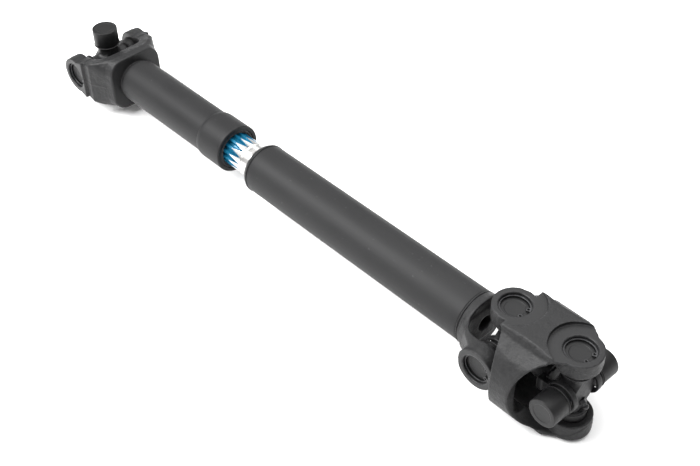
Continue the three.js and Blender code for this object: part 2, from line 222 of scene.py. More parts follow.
paint = {
    "dark": (0.0075, 0.0075, 0.008, 1), "light": (0.0125, 0.0125, 0.013, 1), "edge": (0.05, 0.05, 0.052, 1),
    "rough": (0.36, 0.52), "grain": 1100, "lumps": 140,
}


def forgedPaint(name, lump, grain, edgeShare, rough, tint=1.0):
    # satin paint over a forged skin: fine grain and shallow lumps, both fading where "machined" is 1,
    # and paler paint in flecks where "edge" is high: partly a thinner coat, partly painted highlight along
    # the edges
    n = Nodes(name)
    machined = n.attribute("machined")
    forged = n.math("SUBTRACT", 1.0, machined)
    fine = n.noise(paint["grain"], 3, 0.6)
    lumps = n.noise(paint["lumps"], 3, 0.5)
    cloud = n.noise(38, 4, 0.6)
    dark = tuple(c * tint for c in paint["dark"][:3]) + (1,)
    light = tuple(c * tint for c in paint["light"][:3]) + (1,)
    colour = n.mix(n.remap(cloud, 0.35, 0.65, 0, 1), dark, light)
    # pale flecks on convex edges: a thin coat there, and painted highlight along the edges
    edgeWearAndHighlight = n.math("MULTIPLY", n.attribute("edge"), n.remap(n.noise(420, 2), 0.4, 0.62, 0.15, 1))
    colour = n.mix(n.math("MULTIPLY", edgeWearAndHighlight, edgeShare), colour, paint["edge"])
    roughness = n.math("ADD", n.remap(cloud, 0.3, 0.7, *rough), n.math("MULTIPLY", forged, 0.05))
    normal = n.bump(lumps, lump, n.math("MULTIPLY", forged, 0.9))
    normal = n.bump(fine, grain, n.remap(forged, 0, 1, 0.25, 0.9), normal)
    return n.finish(colour=colour, roughness=roughness, normal=normal, specular=0.24)


forgedBlack = forgedPaint("forgedBlackPaint", 0.0011, 0.00022, 0.55, paint["rough"])
crossBlack = forgedPaint("crossBlackPaint", 0.0006, 0.00012, 0.5, (0.34, 0.46), 1.05)
# the caps' black finish, made darker still (tint 0.6) as painted shade for the dark reflections on their
# sides
shadedCapBlack = forgedPaint("shadedCapBlackFinish", 0.0001, 0.00005, 0.5, (0.36, 0.46), 0.6)


def tubePaint():
    # paint on drawn tube: faint lengthwise draw lines, specks of dust and slow gloss changes
    n = Nodes("tubeBlackPaint")
    draw = n.noise(260, 3, 0.55, (0.02, 1, 1))
    fine = n.noise(1300, 2)
    cloud = n.noise(16, 3, 0.6, (0.5, 1, 1))
    specks = n.remap(n.noise(330, 1), 0.72, 0.8, 0, 1)
    colour = n.mix(n.remap(cloud, 0.35, 0.65, 0, 1), paint["dark"], paint["light"])
    colour = n.mix(n.math("MULTIPLY", specks, 0.35), colour, paint["edge"])
    normal = n.bump(draw, 0.00022, 0.5)
    normal = n.bump(fine, 0.00006, 0.5, normal)
    return n.finish(colour=colour, roughness=n.remap(cloud, 0.3, 0.7, 0.5, 0.6), normal=normal, specular=0.22)


tubeBlack = tubePaint()


def splineFinish():
    # glossy blue coating on the teeth, bare ground steel on the shank, black paint on the flare
    n = Nodes("splineCoating")
    coat = n.attribute("coated")
    painted = n.attribute("painted")
    cloud = n.noise(120, 3)
    blue = n.mix(n.remap(cloud, 0.3, 0.7, 0, 1), (0.0, 0.055, 0.115, 1), (0.01, 0.15, 0.26, 1))
    steel = n.mix(n.noise(900, 2, 0.5, (1, 0.05, 0.05)), (0.52, 0.51, 0.5, 1), (0.72, 0.71, 0.7, 1))
    ragged = n.remap(n.math("ADD", coat, n.remap(n.noise(700, 2), 0, 1, -0.25, 0.25)), 0.42, 0.58, 0, 1)
    colour = n.mix(ragged, steel, blue)
    colour = n.mix(painted, colour, paint["dark"])
    metal = n.math("MULTIPLY", n.remap(ragged, 0, 1, 1, 0.25), n.math("SUBTRACT", 1.0, painted))
    grind = n.noise(2600, 2, 0.6, (1, 0.02, 0.02))
    normal = n.bump(grind, 0.00003, 0.5)
    roughness = n.math("ADD", n.remap(cloud, 0.3, 0.7, 0.2, 0.3), n.math("MULTIPLY", painted, 0.15))
    return n.finish(colour=colour, metallic=metal, roughness=roughness, normal=normal)


splineBlue = splineFinish()


def metalFinish(name, dark, light, rough, metallic, grain):
    n = Nodes(name)
    cloud = n.noise(260, 3, 0.6)
    colour = n.mix(n.remap(cloud, 0.3, 0.7, 0, 1), dark, light)
    normal = n.bump(n.noise(grain, 2, 0.6), 0.00005, 0.6)
    roughness = n.remap(cloud, 0.3, 0.7, *rough)
    return n.finish(colour=colour, metallic=metallic, roughness=roughness, normal=normal)


springSteel = metalFinish("springSteel", (0.015, 0.015, 0.016, 1), (0.035, 0.035, 0.037, 1),
                          (0.3, 0.45), 0.55, 1500)
zincSteel = metalFinish("zincSteel", (0.3, 0.3, 0.29, 1), (0.5, 0.5, 0.48, 1), (0.25, 0.4), 1.0, 1200)
groundSteel = metalFinish("groundSteel", (0.42, 0.42, 0.43, 1), (0.6, 0.6, 0.61, 1),
                          (0.18, 0.3), 1.0, 2200)
sealRubber = metalFinish("sealRubber", (0.006, 0.006, 0.007, 1), (0.014, 0.013, 0.014, 1),
                         (0.55, 0.7), 0.0, 1800)
print("materials made")


def standFor(obj, nodes, material):
    obj.data.materials.append(material)
    bpy.context.scene.collection.objects.link(obj)
    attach(obj, frame["nodes"][nodes[0]]["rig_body"])
    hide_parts(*nodes)
    return obj


def meshFrom(name, points, faces):
    # points in millimetres; every face has the same number of corners, counter-clockwise from outside
    mesh = bpy.data.meshes.new(name)
    mesh.vertices.add(len(points))
    mesh.vertices.foreach_set("co", (np.asarray(points) * 0.001).astype(np.float32).ravel())
    mesh.loops.add(faces.size)
    mesh.loops.foreach_set("vertex_index", faces.astype(np.int32).ravel())
    mesh.polygons.add(len(faces))
    mesh.polygons.foreach_set("loop_start", np.arange(0, faces.size, faces.shape[1], dtype=np.int32))
    mesh.update(calc_edges=True)
    mesh.validate()
    return mesh


def gridFaces(rows, columns, closeRows, closeColumns, start=0):
    # four corners for each cell of a grid of points, wrapped round where it closes on itself
    i = np.arange(rows if closeRows else rows - 1)[:, None]
    j = np.arange(columns if closeColumns else columns - 1)[None, :]
    nextI, nextJ = (i + 1) % rows, (j + 1) % columns
    corners = [i * columns + j, nextI * columns + j, nextI * columns + nextJ, i * columns + nextJ]
    return start + np.stack([np.broadcast_to(c, (i.size, j.size)) for c in corners], -1).reshape(-1, 4)


def tidyShell(mesh, sharpDegrees):
    # poles merged to one point, faces turned outwards, edges over the angle left crisp
    work = bmesh.new()
    work.from_mesh(mesh)
    bmesh.ops.remove_doubles(work, verts=work.verts, dist=1e-6)
    bmesh.ops.recalc_face_normals(work, faces=work.faces)
    work.to_mesh(mesh)
    work.free()
    mesh.shade_smooth()
    mesh.set_sharp_from_angle(angle=math.radians(sharpDegrees))
    return mesh


def softened(profile, steps=4):
    # each corner (along, radius, softness) becomes a short curve that leaves both sides "softness" away
    p = np.array([(q[0], q[1]) for q in profile], float)
    soft = np.array([q[2] if len(q) > 2 else 0.0 for q in profile])
    before, after = np.roll(p, 1, 0) - p, np.roll(p, -1, 0) - p
    a, b = np.linalg.norm(before, axis=1), np.linalg.norm(after, axis=1)
    cut = np.minimum(soft, 0.48 * np.minimum(a, b))[:, None]
    first, last = p + before / a[:, None] * cut, p + after / b[:, None] * cut
    t = np.linspace(0, 1, steps)[None, :, None]
    curve = (1 - t) ** 2 * first[:, None] + 2 * t * (1 - t) * p[:, None] + t ** 2 * last[:, None]
    curve = curve.reshape(-1, 2)
    keep = np.linalg.norm(curve - np.roll(curve, 1, 0), axis=1) > 1e-5
    keep[0] = True
    return curve[keep]


axisTurns = {
    "x": lambda along, u, v: (along, u, v), "z": lambda along, u, v: (u, v, along),
    "top": lambda along, u, v: (u, v, along), "bottom": lambda along, u, v: (u, -v, -along),
    "near": lambda along, u, v: (u, -along, v), "far": lambda along, u, v: (u, along, -v),
}


def turnedPoints(profile, axis, sides, ripple=None):
    # a profile of (along, radius) carried once round an axis; ripple may push the radius
    along, radius = profile[:, 0][:, None], profile[:, 1][:, None]
    angle = np.linspace(0, 2 * np.pi, sides, endpoint=False)[None, :]
    pushed = radius + (ripple(along, radius, angle) if ripple else 0)
    x, y, z = axisTurns[axis](along + 0 * angle, pushed * np.cos(angle), pushed * np.sin(angle))
    return np.stack([x, y, z], -1).reshape(-1, 3)


def turned(name, profile, centre, axis="x", sides=64, ripple=None, sharp=40, steps=4, extra=0):
    # a solid of revolution; a profile that starts and ends on the axis is closed there by its poles
    curve = softened(profile, steps)
    open_ = abs(profile[0][1]) < 1e-6 and abs(profile[-1][1]) < 1e-6
    if extra:
        curve = densified(curve, extra, not open_)
    points = turnedPoints(curve, axis, sides, ripple) + np.array(centre)
    mesh = meshFrom(name, points, gridFaces(len(curve), sides, not open_, True))
    return tidyShell(mesh, sharp)


def densified(curve, longest, closed):
    # long straight runs of a profile get points no further apart than "longest"
    ends = np.roll(curve, -1, 0) if closed else curve[1:]
    starts = curve if closed else curve[:-1]
    counts = np.maximum(1, np.ceil(np.linalg.norm(ends - starts, axis=1) / longest)).astype(int)
    index = np.repeat(np.arange(len(counts)), counts)
    share = (np.arange(len(index)) - np.repeat(np.cumsum(counts) - counts, counts)) / counts[index]
    dense = starts[index] + (ends - starts)[index] * share[:, None]
    return dense if closed else np.vstack([dense, curve[-1:]])


def roundMin(a, b, r):
    # two bodies joined, with a fillet of radius r in the corner between them
    return np.maximum(r, np.minimum(a, b)) - np.hypot(np.maximum(r - a, 0), np.maximum(r - b, 0))


def roundMax(a, b, r):
    # what two bodies share, with its edge rounded to radius r
    return np.minimum(-r, np.maximum(a, b)) + np.hypot(np.maximum(r + a, 0), np.maximum(r + b, 0))


def gradient(field, p, h):
    parts = []
    for k in range(3):
        step = np.zeros(3)
        step[k] = h
        q, w = p + step, p - step
        parts.append(field(q[:, 0], q[:, 1], q[:, 2]) - field(w[:, 0], w[:, 1], w[:, 2]))
    g = np.stack(parts, -1)
    return g / np.maximum(np.linalg.norm(g, axis=1), 1e-9)[:, None]


def skinOf(field, low, high, step):
    # the surface where a field is nought, negative inside. Every cell that the surface crosses gets one
    # point, where the planes of its crossings come nearest to meeting, so machined edges stay crisp
    counts = [int(math.ceil((h - l) / step)) + 1 for l, h in zip(low, high)]
    axes = [l + step * np.arange(n) for l, n in zip(low, counts)]
    x, y, z = np.meshgrid(*axes, indexing="ij", sparse=True)
    value = np.broadcast_to(field(x, y, z), counts).copy()
    value[value == 0] = 1e-9
    inside = value < 0
    low, shape = np.array(low, float), np.array(counts)
    strides = np.array([shape[1] * shape[2], shape[2], 1])
    flat = value.ravel()
    pieces = []
    for k in range(3):
        a = np.moveaxis(inside, k, 0)
        spots = np.argwhere(a[1:] != a[:-1])
        order = [k] + [m for m in range(3) if m != k]
        index = np.empty_like(spots)
        index[:, order] = spots
        u, v = np.eye(3, dtype=int)[(k + 1) % 3], np.eye(3, dtype=int)[(k + 2) % 3]
        index = index[(index[:, (k + 1) % 3] > 0) & (index[:, (k + 2) % 3] > 0)]
        here = index @ strides
        fa, fb = flat[here], flat[here + strides[k]]
        ta, tb = np.zeros(len(fa)), np.ones(len(fa))
        side = fa < 0
        start = low + step * index
        e = step * np.eye(3)[k]
        for turn in range(5):
            t = np.clip(ta - fa * (tb - ta) / (fb - fa), ta + 0.02 * (tb - ta), tb - 0.02 * (tb - ta))
            p = start + t[:, None] * e
            f = field(p[:, 0], p[:, 1], p[:, 2])
            same = (f < 0) == side
            ta, fa = np.where(same, t, ta), np.where(same, f, fa)
            tb, fb = np.where(same, tb, t), np.where(same, fb, f)
        cells = np.stack([spot @ strides for spot in (index - u - v, index - v, index, index - u)], -1)
        pieces.append((p, gradient(field, p, 0.02), np.where(side[:, None], cells, cells[:, ::-1])))
    cells = np.concatenate([c for _, _, c in pieces])
    used = np.zeros(flat.size, bool)
    used[cells.ravel()] = True
    number = np.cumsum(used) - 1
    faces = number[cells]
    total = int(used.sum())
    p = np.repeat(np.concatenate([q for q, _, _ in pieces]), 4, 0)
    n = np.repeat(np.concatenate([g for _, g, _ in pieces]), 4, 0)
    who = faces.ravel()

    def gather(weights):
        return np.bincount(who, weights, total)

    count = gather(np.ones(len(who)))
    mean = np.stack([gather(p[:, k]) for k in range(3)], -1) / count[:, None]
    matrix = np.empty((total, 3, 3))
    for i in range(3):
        for j in range(3):
            matrix[:, i, j] = gather(n[:, i] * n[:, j])
    offset = np.einsum("ij,ij->i", n, p)
    rhs = np.stack([gather(n[:, k] * offset) for k in range(3)], -1) - np.einsum("nij,nj->ni", matrix, mean)
    matrix += 0.03 * np.eye(3)
    points = mean + np.linalg.solve(matrix, rhs[..., None])[..., 0]
    cell = np.flatnonzero(used)
    corner = np.stack([cell // strides[0], cell // strides[1] % shape[1], cell % shape[2]], -1)
    middle = low + step * (corner + 0.5)
    points = np.clip(points, middle - 0.55 * step, middle + 0.55 * step)
    return points, faces


def pointValues(mesh, key, values):
    data = mesh.attributes.new(key, "FLOAT", "POINT").data
    data.foreach_set("value", values.astype(np.float32).ravel())


def fieldPiece(name, parts, nodes, material, machined=None, soft=0.35):
    # one or more fields, each (field, low, high, step, centre, mapping), skinned and joined in one object
    allPoints, allFaces, allNormals, allEdge, allMachined, start = [], [], [], [], [], 0
    for field, low, high, step, centre, mapping in parts:
        points, faces = skinOf(field, low, high, step)
        normals = gradient(field, points, soft)
        h = 0.9
        around = sum(field(*(points + s * h * np.eye(3)[k]).T) for k in range(3) for s in (-1, 1))
        edge = np.clip((around - 6 * field(*points.T)) / h * 0.55 - 0.25, 0, 1)
        flag = machined(*points.T) if machined else np.zeros(len(points))
        if mapping is not None:
            points, normals = points @ mapping.T, normals @ mapping.T
            if np.linalg.det(mapping) < 0:
                faces = faces[:, ::-1]
        allPoints.append(points + np.array(centre))
        allFaces.append(faces + start)
        allNormals.append(normals)
        allEdge.append(edge)
        allMachined.append(flag.astype(float))
        start += len(points)
    points, faces = np.concatenate(allPoints), np.concatenate(allFaces)
    mesh = meshFrom(name, points, faces)
    mesh.shade_smooth()
    for key, values in (("edge", allEdge), ("machined", allMachined)):
        pointValues(mesh, key, np.concatenate(values))
    mesh.normals_split_custom_set_from_vertices(np.concatenate(allNormals).astype(np.float32))
    print(" ", name, len(faces) * 2, "triangles")
    return standFor(bpy.data.objects.new(name, mesh), nodes, material)


def turnedPiece(name, profile, centre, nodes, material, slot, axis="x", sides=64, **shape):
    mesh = turned(name, profile, centre, axis, sides, **shape)
    return standFor(bpy.data.objects.new(name, mesh), nodes, material)


flipX = np.diag([-1.0, 1.0, 1.0])


slipFork = {"startX": 43, "endX": 52, "halfZ": 30.5, "halfY": 31.5, "cornerR": 36.5, "waistX": 26,
            "armY": 42.6, "bossX": 15.5, "throatRound": 15, "throatX": 29.9, "edge": 3.5}
tubeFork = {"startX": 29, "endX": 35, "halfZ": 18, "halfY": 26.5, "cornerR": 28.5, "waistX": 10,
            "armY": 42.6, "bossX": 0, "throatRound": 15, "throatX": 29.9, "edge": 4.5}
holeInnerY, grooveMid, grooveHalf, earChamfer = 20, 42.2, 1.0, 0.8


def earHoles(body, u, v, w):
    # bore along w with a small chamfer, and the snap ring's groove, in both ears
    r, aw = np.hypot(u, v), np.abs(w)
    bore = np.maximum(r - bearing["earBoreR"], holeInnerY - aw)
    chamfer = (r - bearing["earBoreR"] - np.maximum(aw - earFace + earChamfer, 0)) * 0.8
    groove = np.maximum(r - bearing["grooveR"], np.abs(aw - grooveMid) - grooveHalf)
    void = np.minimum(np.minimum(bore, np.maximum(chamfer, holeInnerY - aw)), groove)
    return np.maximum(body, -void)


def forkField(shape, x, y, z):
    # a side outline and a top outline forged together: round ears, arms running into a round base
    ay, az = np.abs(y), np.abs(z)
    x0, z0 = 0.3 * earR, 0.985 * earR
    dx, dz = shape["startX"] - x0, shape["halfZ"] - z0
    flank = np.maximum(((az - z0) * dx - (x - x0) * dz) / math.hypot(dx, dz), az - shape["halfZ"])
    side = np.minimum(np.hypot(x, z) - earR, np.maximum(flank, -x))
    t = np.linspace(0, 1, 40)
    curveX = (1 - t) ** 2 * shape["waistX"] + 2 * t * (1 - t) * shape["startX"] + t * t * shape["endX"]
    curveY = (1 - t) ** 2 * shape["armY"] + 2 * t * (1 - t) * (shape["halfY"] + 2) + t * t * shape["halfY"]
    armTop = (ay - np.interp(x, curveX, curveY)) * 0.93
    arm = roundMax(side, armTop, shape["edge"])
    bossSide = roundMax(side, x - shape["bossX"], 1.2) if shape["bossX"] else np.hypot(x, z) - earR
    boss = roundMax(bossSide, ay - earFace, 0.7)
    body = roundMin(arm, boss, 1.6)
    limit = np.interp(x, [10, shape["startX"], shape["endX"]], [60, shape["cornerR"] + 2, shape["cornerR"]])
    body = roundMax(body, (np.hypot(y, z) - limit) * 0.86, 2.5)
    body = roundMax(body, x - shape["endX"], 1.5)
    r = shape["throatRound"]
    qx, qy = x - (shape["throatX"] - r), ay - (earInner - r)
    throat = np.hypot(np.maximum(qx, 0), np.maximum(qy, 0)) + np.minimum(np.maximum(qx, qy), 0) - r
    flash = 0.35 * np.exp(-(z / 0.9) ** 2) * (x < shape["startX"])      # trimmed line of the dies
    return roundMax(body - flash, -throat, 2.2)


def slipYokeField(x, y, z):
    body = forkField(slipFork, x, y, z)
    r = np.hypot(y, z)
    neck = np.maximum(np.maximum(r - 20.5, 40 - x), x - 58)
    body = roundMin(body, neck, 1.2)
    body = np.maximum(body, -np.maximum(r - 19.3, x - 40.5))
    body = np.maximum(body, 17.6 - r)
    body = np.maximum(body, np.abs(y) - earFace)
    return earHoles(body, x, z, y)


def earMachined(r, along):
    # the ears' outer and inner faces, and round the bore
    outer, inner = np.abs(along - earFace) < 0.12, np.abs(along - earInner) < 0.1
    return outer | (r < 15) | inner & (r < 18)


def slipMachined(x, y, z):
    return earMachined(np.hypot(x, z), np.abs(y)) | (x > 51.5)


def tubeMachined(x, y, z):
    return slipMachined(x, y, z) & (x < 31)


fieldPiece("slipYokeFork", [(slipYokeField, (-21, -47, -34), (60, 47, 34), 1.0, (pinionX, 0, 0), None)],
           ["slip_yoke"], forgedBlack, slipMachined)

slipBarrel = [(57.4, 18, 0.2), (57.4, 23.6, 1.2), (221.5, 23.6, 0.6), (221.5, 17.9, 0.3)]
turnedPiece("slipYokeBarrel", slipBarrel, (pinionX, 0, 0), ["slip_yoke"], tubeBlack, "black_paint",
            sides=128, extra=6)


def tubeYokeField(x, y, z):
    body = forkField(tubeFork, x, y, z)
    r = np.hypot(y, z)
    cone = (r - np.interp(x, [32, 39.2], [27.2, 25.4])) * 0.97
    hub = roundMax(roundMax(cone, 30.2 - x, 1.5), x - 39.2, 0.6)
    spigot = np.maximum(np.maximum(r - 22.1, 31 - x), x - 52)
    body = roundMin(body, hub, 1.5)
    body = np.minimum(body, spigot)
    body = np.maximum(body, -roundMax(r - 8, x - 44, 2))
    body = np.maximum(body, np.abs(y) - earFace)
    return earHoles(body, x, z, y)


fieldPiece("tubeYoke", [(tubeYokeField, (-21, -47, -34), (54, 47, 34), 0.95, (innerX, 0, 0), flipX)],
           ["tube_yoke"], forgedBlack, tubeMachined)
print("forks made")


coupling = {"plateauZ": 48.5, "barrelR": 50.5, "limitR": 54, "wallHalf": 25, "boreR": 37,
            "spotR": 26.5, "sweepR": 49.6, "scoopR": 22, "scoopLong": 2.45, "scoopY": 45.3, "scoopZ": 55.7,
            "planX": [0, 24.5, 27, 31, 33.75, 36.5], "planY": [27, 27, 26.3, 23.4, 22, 19.5],
            "leftOval": (19, 47.5), "rightOval": (28.7, 42.5)}


def centreYokeField(x, y, z):
    # flat lands above and below, a round barrel between, oval throats through the sides, and
    # dished pockets at the corners
    c = coupling
    ax, ay, az = np.abs(x), np.abs(y), np.abs(z)
    h = (outerX - innerX) / 2
    dx = ax - h
    r = np.hypot(y, z)
    ear = np.hypot(dx, y) - earR
    land = np.maximum((ay - np.interp(ax, c["planX"], c["planY"])) * 0.9, ax - c["planX"][-1])
    plate = roundMax(roundMin(ear, land, 0.6), az - c["plateauZ"], 1.0)
    wall = roundMax(roundMax(r - c["barrelR"], ax - c["wallHalf"], 1.5), az - c["plateauZ"], 1.3)
    away = (x / c["scoopLong"]) ** 2 + (ay - c["scoopY"]) ** 2 + (az - c["scoopZ"]) ** 2
    scoop = np.sqrt(away) - c["scoopR"]
    plate = roundMax(plate, -scoop, 0.8)
    wall = roundMax(wall, -scoop, 3.0)
    body = roundMax(roundMin(plate, wall, 1.5), r - c["limitR"], 2.0)
    for centre, (halfX, halfZ) in ((-h, c["leftOval"]), (h, c["rightOval"])):
        reach = np.hypot((x - centre) / halfX, z / halfZ) + 1e-6
        slope = np.hypot((x - centre) / halfX ** 2, z / halfZ ** 2) / reach + 1e-6
        oval = np.maximum((reach - 1) / slope, earR - np.hypot(x - centre, y))
        body = roundMax(body, -oval, 1.4)
    body = roundMax(body, -roundMax(r - c["boreR"], az - earInner, 2), 1.6)
    sweep = roundMax(np.hypot(dx, y) - c["sweepR"], az - 22.5, 6)
    body = roundMax(body, -sweep, 0.6)
    body = roundMax(body, -np.maximum(h - ax, az - earInner), 1.2)
    spot = roundMax(np.hypot(dx, y) - c["spotR"], earFace - az, 0.8)
    body = np.maximum(body, -spot)
    return earHoles(body, dx, y, z)


def couplingMachined(x, y, z):
    return earMachined(np.hypot(np.abs(x) - (outerX - innerX) / 2, y), np.abs(z))


couplingBox = ((-55.5, -53, -50.5), (55.5, 53, 50.5))
fieldPiece("centreYoke", [(centreYokeField, *couplingBox, 1.0, (middleX, 0, 0), None)],
           ["centre_yoke"], forgedBlack, couplingMachined)
print("coupling made")


def crossField(x, y, z):
    # flat-fronted arms with a hub, and four ground trunnions
    b = bearing
    ay, az = np.abs(y), np.abs(z)
    arms = roundMin(np.maximum(np.hypot(x, z) - b["armR"], ay - b["shoulder"]),
                    np.maximum(np.hypot(x, y) - b["armR"], az - b["shoulder"]), 4)
    body = roundMin(arms, np.hypot(y, z) - b["hubR"], 2)
    body = roundMax(body, np.abs(x) - b["crossHalf"], 1.0)
    body = np.maximum(body, np.maximum(ay, az) - b["shoulder"])
    pins = np.minimum(roundMax(np.hypot(x, z) - b["trunnionR"], ay - b["trunnionEnd"], 0.8),
                      roundMax(np.hypot(x, y) - b["trunnionR"], az - b["trunnionEnd"], 0.8))
    return np.minimum(body, pins)


def crossMachined(x, y, z):
    return np.maximum(np.abs(y), np.abs(z)) > bearing["shoulder"] - 0.2


for node, at in (("pinion_cross", pinionX), ("inner_cross", innerX), ("outer_cross", outerX)):
    fieldPiece(node + "_forged", [(crossField, (-12, -39, -39), (12, 39, 39), 0.8, (at, 0, 0), None)],
               [node], crossBlack, crossMachined)


def capProfile():
    b = bearing
    f, rim, floor = b["capFace"], b["capRim"], b["capFace"] - b["capFloor"]
    dish = f - b["dishDepth"]
    return [(floor, 0), (floor, b["capBoreR"], 0.5), (rim, b["capBoreR"], 0.3), (rim, b["capR"], 0.5),
            (f, b["capR"], 0.9), (f, b["dishR"], 0.5), (dish, b["dishR"] - 0.5, 0.4), (dish, 0)]


def sealProfile():
    b = bearing
    s, r = b["shoulder"] + 0.3, b["trunnionR"] + 0.3
    return [(s, r, 0.3), (s, 12.6, 0.4), (s + 0.7, 13.0, 0.3), (21.6, 14.1, 0.3), (22.2, 14.1, 0.3),
            (22.2, 11.2, 0.2), (21.8, r, 0.2)]


def needlePoints(centre, side):
    # rollers stood in a ring: one short cylinder, its outline repeated round the trunnion
    b = bearing
    spots = np.linspace(0, 2 * np.pi, b["needleCount"], endpoint=False)
    around = np.linspace(0, 2 * np.pi, 8, endpoint=False)
    along = np.array([24.6, 24.6, 24.9, 37.7, 38.0, 38.0])
    radius = np.array([0, b["needleR"] - 0.25, b["needleR"], b["needleR"], b["needleR"] - 0.25, 0])
    u, v = (b["needleCircle"] * turn(spots)[:, None, None] + radius[None, :, None] * turn(around)
            for turn in (np.cos, np.sin))
    x, y, z = axisTurns[side](np.broadcast_to(along[None, :, None], u.shape), u, v)
    faces = gridFaces(6, 8, False, True)[None] + (np.arange(b["needleCount"]) * 48)[:, None, None]
    return np.stack([x, y, z], -1).reshape(-1, 3) + np.array(centre), faces.reshape(-1, 4)


def ringOutline(u, v):
    # flat view of the snap ring: a C with two drilled lugs beside its gap
    r, angle = np.hypot(u, v), np.arctan2(v, u)
    inner = bearing["ringR"] - 2.6 + 0.5 * np.cos(angle) ** 2
    band = np.maximum(r - bearing["ringR"], inner - r)
    lugCircle, lugAngle, lugR, holeR = 11.2, 0.48, 2.1, 1.0
    fromLug = np.hypot(u - lugCircle * np.cos(lugAngle), np.abs(v) - lugCircle * np.sin(lugAngle))
    lug = roundMin(band, np.maximum(fromLug - lugR, r - bearing["ringR"]), 0.8)
    gapCut = (0.3 * r - np.abs(v)) * 0.95
    hole = holeR - fromLug
    return np.maximum(np.maximum(lug, np.where(u > 0, gapCut, -9)), hole)


def snapRing(name, node, centre, side):
    mid = bearing["ringStart"] + bearing["ringThick"] / 2

    def field(x, y, z):
        return roundMax(ringOutline(x, y), np.abs(z - mid) - bearing["ringThick"] / 2, 0.3)

    mapping = {"top": np.eye(3), "bottom": np.diag([1.0, -1, -1]),
               "near": np.array([[1.0, 0, 0], [0, 0, -1], [0, 1, 0]]),
               "far": np.array([[1.0, 0, 0], [0, 0, 1], [0, -1, 0]])}
    low, high = (-15.2, -15.2, mid - 1.1), (15.2, 15.2, mid + 1.1)
    fieldPiece(name, [(field, low, high, 0.45, centre, mapping[side])],
               [node], springSteel, soft=0.15)


def bearingOn(owner, at, side, ring):
    centre = (at, 0, 0)
    turnedPiece(owner + "Cap_" + side, capProfile(), centre, [owner + "_cap_" + side],
                shadedCapBlack, "cap_black", side, 72)
    turnedPiece(owner + "Seal_" + side, sealProfile(), centre, [owner + "_seal_" + side],
                sealRubber, "seal_rubber", side)
    if ring:
        snapRing(owner + "SnapRing_" + side, owner + "_snap_ring_" + side, centre, side)
    else:
        points, faces = needlePoints(centre, side)
        mesh = tidyShell(meshFrom(owner + "Needles_" + side, points, faces), 40)
        standFor(bpy.data.objects.new(mesh.name, mesh),
                 [owner + "_needles_" + side], groundSteel)


for owner, at, sides, ring in (("slip_yoke", pinionX, ("near", "far"), True),
                               ("pinion", pinionX, ("top", "bottom"), False),
                               ("tube_yoke", innerX, ("near", "far"), True),
                               ("centre_yoke_inner", innerX, ("top", "bottom"), True),
                               ("centre_yoke_outer", outerX, ("top", "bottom"), True),
                               ("outer", outerX, ("near", "far"), False)):
    for side in sides:
        bearingOn(owner, at, side, ring)
print("crosses and bearings made")


def greaseFitting(name, node, centre, direction, material):
    # hexagon, neck and round nipple, turned about its own line
    profile = [(12.2, 0), (12.2, 3.2, 0.2), (15.8, 3.2, 0.4), (16, 2.0, 0.2), (18.2, 1.8, 0.3),
               (19.0, 2.7, 0.3), (20.4, 2.6, 0.5), (21.5, 1.5, 0.3), (21.5, 0)]
    curve = densified(softened(profile), 1.2, False)

    def hexagon(along, radius, angle):
        share = ((along > 12.1) & (along < 15.9) & (radius > 2.4)) * 1.0
        flat = np.cos(np.pi / 6) / np.cos((angle % (np.pi / 3)) - np.pi / 6)
        return share * radius * (flat * 1.06 - 1)

    points = turnedPoints(curve, "z", 48, hexagon)
    d = Vector(direction).normalized()
    turn = np.array(Vector((0, 0, 1)).rotation_difference(d).to_matrix())
    mesh = meshFrom(name, points @ turn.T + np.array(centre), gridFaces(len(curve), 48, False, True))
    standFor(bpy.data.objects.new(name, tidyShell(mesh, 35)), [node], material)


greaseFitting("pinionGreaseFitting", "pinion_cross_fitting", (pinionX, 0, 0), (-1, 0, 1), zincSteel)
innerTilt, outerTilt = -0.3 * math.pi, 0.75 * math.pi
greaseFitting("innerGreaseFitting", "inner_cross_fitting", (innerX, 0, 0),
              (math.sin(innerTilt), 0, math.cos(innerTilt)), zincSteel)
greaseFitting("outerGreaseFitting", "outer_cross_fitting", (outerX, 0, 0),
              (math.sin(outerTilt), 0, math.cos(outerTilt)), springSteel)       # painted over with its cross


plugProfile = [(32.9, 0), (34.0, 11, 3), (35.4, 19, 0.4), (37.4, 19, 0.4), (35.6, 11, 3), (34.9, 0)]
turnedPiece("welchPlugDisc", plugProfile, (pinionX, 0, 0), ["welch_plug"], springSteel, "bare_steel")

collarProfile = [(190, 23.9, 0.1), (190, 24.7, 0.4), (194, 25.5, 1.5), (225.2, 25.5, 0.6),
                 (226, 24.9, 0.4), (226, 21.2, 0.4), (222.1, 21.2, 0.2), (222.1, 23.9, 0.1)]
turnedPiece("dustCollarShell", collarProfile, (pinionX, 0, 0), ["dust_collar"], tubeBlack, "black_paint",
            sides=128, extra=5)
lipProfile = [(222.4, 17.8, 0.3), (222.4, 20.9, 0.2), (225.2, 20.9, 0.3), (225.2, 19.2, 0.3),
              (224.2, 18.6, 0.5), (225.0, 17.8, 0.2)]
turnedPiece("splineLipSeal", lipProfile, (pinionX, 0, 0), ["spline_seal"], sealRubber, "seal_rubber",
            sides=96)


stub = {"teeth": 16, "perTooth": 24, "tipR": 17.5, "rootR": 15.2, "shankR": 17.1, "start": 140,
        "fullEnd": 242, "end": 250, "cutterR": 15, "gapWide": 0.62, "taper": 17, "flank": 9.5,
        "coatEnd": 248, "bareAndHighlightLength": 16}


